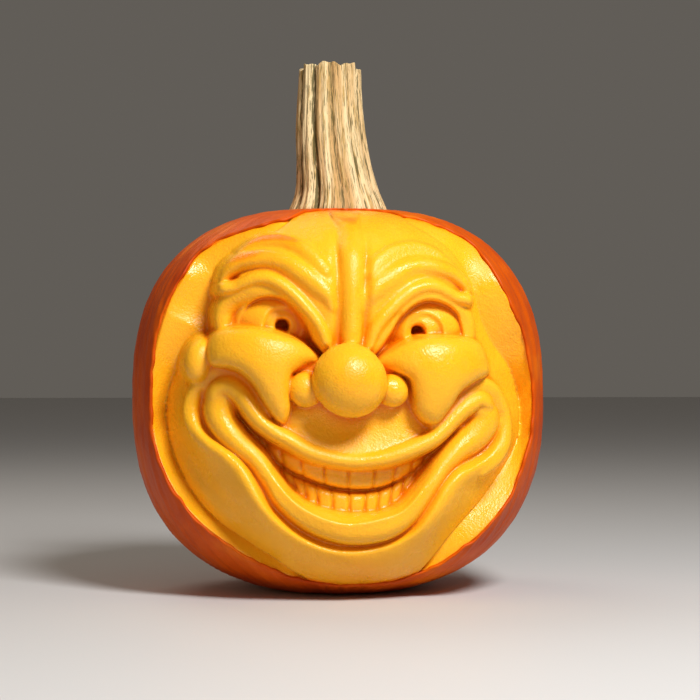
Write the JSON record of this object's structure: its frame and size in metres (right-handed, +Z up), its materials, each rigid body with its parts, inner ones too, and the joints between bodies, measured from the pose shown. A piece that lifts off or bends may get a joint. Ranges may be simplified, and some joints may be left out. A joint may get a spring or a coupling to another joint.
{
  "type": "carved pumpkin",
  "caption": "Whole pumpkin with its ridged stem, one side cut away and sculpted in relief into a grinning round-nosed face; solid, stands on a small flat spot.",
  "frame": {"origin": "centre of the flat spot that the pumpkin stands on, on the axis of the stem's foot", "axes": "+Z up through the stem, the carved face looks along -Y, +X to the viewer's right"},
  "size_m": [0.2787, 0.2772, 0.3586],
  "materials": {
    "flesh": "cut raw pumpkin flesh, moist and slightly translucent, pale yellow deep inside and orange just under the rind",
    "rind": "smooth waxy deep orange rind with fine lengthwise veins",
    "stem": "dry corky stem, cream ridges with olive and brown streaks in the grooves"
  },
  "bodies": {
    "root": {"pumpkin": "flesh"}
  },
  "joints": []
}
